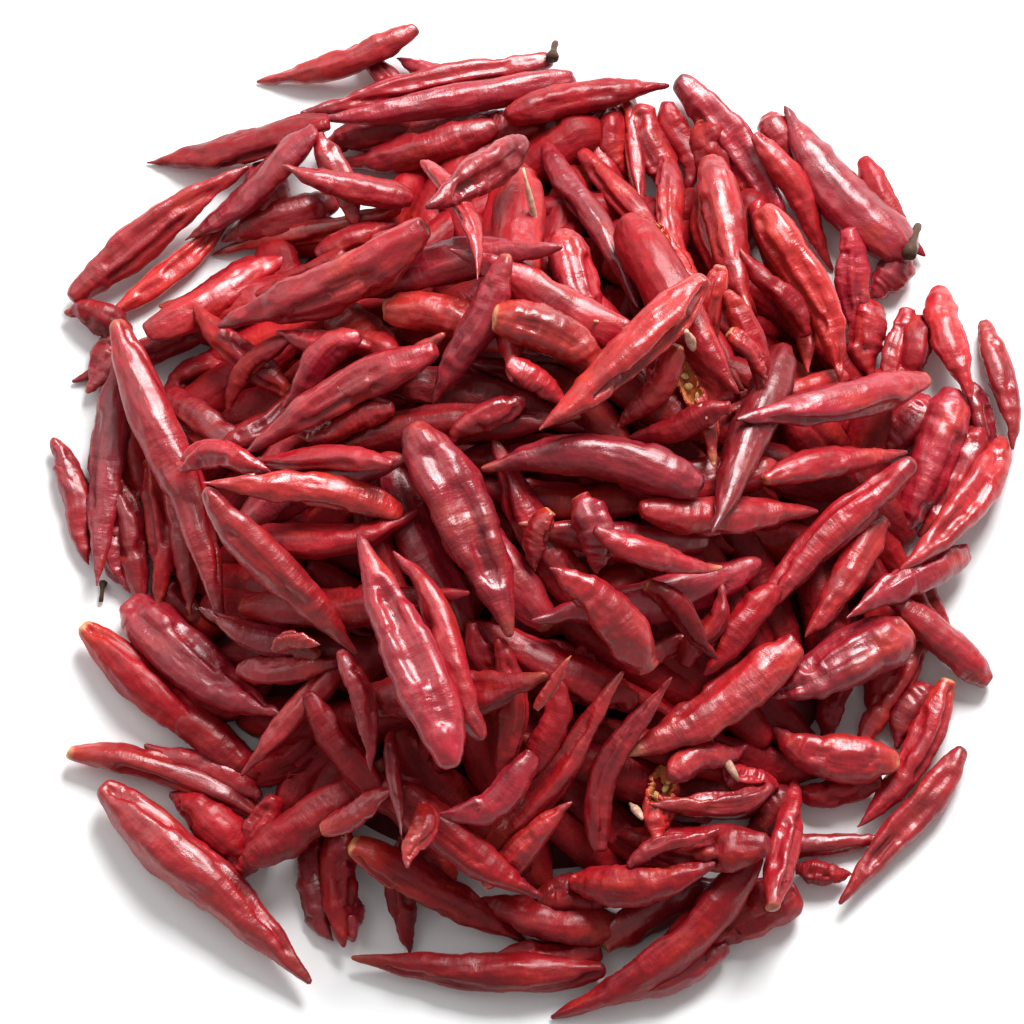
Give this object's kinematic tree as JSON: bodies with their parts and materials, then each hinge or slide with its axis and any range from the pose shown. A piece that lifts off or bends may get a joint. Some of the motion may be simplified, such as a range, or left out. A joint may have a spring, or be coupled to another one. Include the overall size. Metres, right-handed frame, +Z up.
{
  "type": "heap of dried chillies",
  "caption": "Loose round heap of small dried red chillies, lying flat on a table as tipped out: wrinkled, glossy, bent pods crossing each other.",
  "frame": {"origin": "on the surface that the heap lies on, under the middle of its outline", "axes": "+Z up, front of the heap towards -Y, as in the picture; +X to the right"},
  "size_m": [0.2447, 0.2556, 0.0607],
  "materials": {
    "chilli_skin": "glossy, wrinkled dried skin",
    "chilli_stalk": "dull dry stalk and pale stem end",
    "chilli_flesh": "dull torn orange flesh"
  },
  "bodies": {
    "root": {"chilli_heap": "chilli_skin"}
  },
  "joints": []
}
